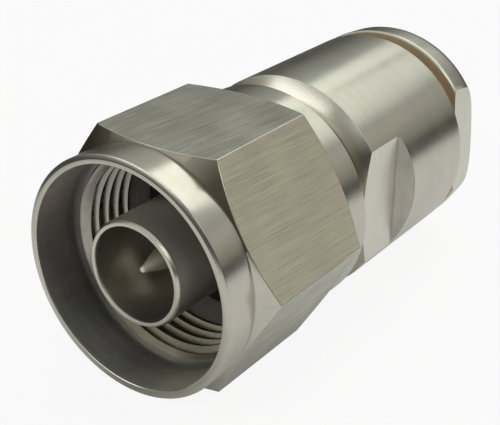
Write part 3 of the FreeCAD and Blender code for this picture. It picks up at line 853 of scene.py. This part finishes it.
def makeFloor(sizes, level):
    bm = bmesh.new()
    bmesh.ops.create_grid(bm, x_segments=1, y_segments=1, size=sizes["floorSize"] / 2)
    bmesh.ops.translate(bm, verts=bm.verts, vec=(0, 0, level))
    mesh = bpy.data.meshes.new("paperFloor")
    bm.to_mesh(mesh)
    bm.free()
    floor = bpy.data.objects.new("paperFloor", mesh)
    bpy.context.scene.collection.objects.link(floor)
    finish = Finish("paper", (0.9, 0.9, 0.9), 0.9, metallic=0.0)
    coordinates = finish.node("ShaderNodeTexCoord").outputs["Object"]
    distance = finish.node("ShaderNodeVectorMath", {"operation": "DISTANCE"},
                           {0: coordinates, 1: sizes["paperCentre"]}).outputs["Value"]
    path = finish.node("ShaderNodeLightPath")
    camera = Signal(finish, path.outputs["Is Camera Ray"])
    mirrored = Signal(finish, path.outputs["Is Glossy Ray"])
    mirrored = mirrored + Signal(finish, path.outputs["Is Transmission Ray"])
    glow = finish.clamp(distance, sizes["paperEdge"], sizes["tableEdge"],
                        sizes["paperGlow"], sizes["tableGlow"])
    # painted shadow: what metal mirrors of the floor is dimmed close beside the plug, most of all beside the
    # wide nut
    split = finish.node("ShaderNodeSeparateXYZ", None, {0: coordinates})
    x, y = (Signal(finish, split.outputs[axis]) for axis in "XY")
    pastEnd = x.math("ABSOLUTE", x - (cadBox[0][0] + cadBox[1][0]) / 2) - (cadBox[1][0] - cadBox[0][0]) / 2
    beside = x.math("MAXIMUM", y.math("ABSOLUTE", y), pastEnd)
    inShadow = finish.clamp(x, *sizes["shadowAlong"], *sizes["shadowGlow"])
    glow = glow * finish.clamp(beside, 0.0, sizes["shadowWidth"], inShadow, 1.0)
    light = finish.node("ShaderNodeEmission", None,
                        {"Color": (1, 1, 1, 1), "Strength": camera + mirrored * glow})
    far = finish.clamp(distance, sizes["paperEdge"], sizes["tableEdge"], sizes["mirrorShare"], 1.0)
    mixed = finish.node("ShaderNodeMixShader", None,
                        {0: camera * sizes["cameraShare"] + mirrored * far, 1: finish.shader.outputs[0],
                         2: light.outputs[0]})
    output = finish.tree.nodes["Material Output"]
    finish.feed(output.inputs["Surface"], mixed.outputs[0])
    mesh.materials.append(finish.material)
    floor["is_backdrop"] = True


horizonLift = 0.1         # the sky's ramp starts this far below the horizon


def makeWorld():
    # a dim horizon that brightens upwards, as a room with soft light overhead
    world = bpy.data.worlds.new("softStudio")
    bpy.context.scene.world = world
    world.use_nodes = True
    sky = Graph(world.node_tree)
    direction = sky.node("ShaderNodeTexCoord").outputs["Generated"]
    height = Signal(sky, sky.node("ShaderNodeSeparateXYZ", None, {0: direction}).outputs["Z"])
    stops = [(0.0, (0.05, 0.05, 0.046)), (0.1, (0.055, 0.056, 0.05)), (0.19, (0.075, 0.076, 0.068)),
             (0.27, (0.11, 0.112, 0.10)), (0.36, (0.20, 0.202, 0.187)), (0.44, (0.28, 0.284, 0.268)),
             (0.55, (0.38, 0.39, 0.37)), (0.67, (0.46, 0.47, 0.45)), (1.0, (0.6, 0.61, 0.59))]
    glow = sky.node("ShaderNodeValToRGB", {"stops": stops}, {0: height + horizonLift}).outputs["Color"]
    camera = sky.node("ShaderNodeLightPath").outputs["Is Camera Ray"]
    seen = sky.node("ShaderNodeMix", {"data_type": "RGBA"}, {"Factor": camera, 6: glow, 7: (1, 1, 1, 1)})
    background = sky.tree.nodes["Background"]
    background.inputs["Strength"].default_value = 1.0
    sky.feed(background.inputs["Color"], seen.outputs[2])


# the lamps are placed by angle from the plug: azimuth from +X towards +Y, elevation above the floor
softBoxes = {
    "rearBox": {"azimuth": 15, "elevation": 34, "spread": (11, 14), "glow": 0.76,
                "colour": (0.98, 1.0, 0.95)},
    "sideBox": {"azimuth": -11, "elevation": 34, "spread": (27, 14), "glow": 0.53,
                "colour": (1.0, 0.975, 0.94)},
    "topBox": {"azimuth": -3, "elevation": 53, "spread": (38, 24), "glow": 1.0,
               "colour": (1.0, 0.99, 0.96)},
    "frontBox": {"azimuth": 154, "elevation": 34, "spread": (44, 13), "glow": 1.5,
                 "colour": (1.0, 1.0, 0.98)},
    "cameraBox": {"azimuth": -138, "elevation": 38, "spread": (30, 22), "glow": 0.8,
                  "colour": (1.0, 0.99, 0.96)},
    "lowBox": {"azimuth": -40, "elevation": 15, "spread": (36, 20), "glow": 0.215,
               "colour": (1.0, 0.93, 0.82)},
}
boxDistance = 0.5
lampAim = Vector((0.015, 0, 0))      # near the middle of the plug


def makeLamp(name, box):
    across, height = math.radians(box["azimuth"]), math.radians(box["elevation"])
    away = Vector((math.cos(across) * math.cos(height), math.sin(across) * math.cos(height),
                   math.sin(height)))
    data = bpy.data.lights.new(name, "AREA")
    data.shape = "RECTANGLE"
    data.size, data.size_y = (2 * boxDistance * math.tan(math.radians(angle / 2))
                              for angle in box["spread"])
    data.energy = box["glow"] * math.pi * data.size * data.size_y
    data.color = box["colour"]
    lamp = bpy.data.objects.new(name, data)
    lamp.location = lampAim + away * boxDistance
    lamp.rotation_euler = away.to_track_quat("Z", "Y").to_euler()
    lamp.visible_camera = False
    bpy.context.scene.collection.objects.link(lamp)


makeFloor(studio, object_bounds()[0][2])
makeWorld()
for boxName, box in softBoxes.items():
    makeLamp(boxName, box)
bpy.context.scene.view_settings.view_transform = "Standard"
print("floor and light made")
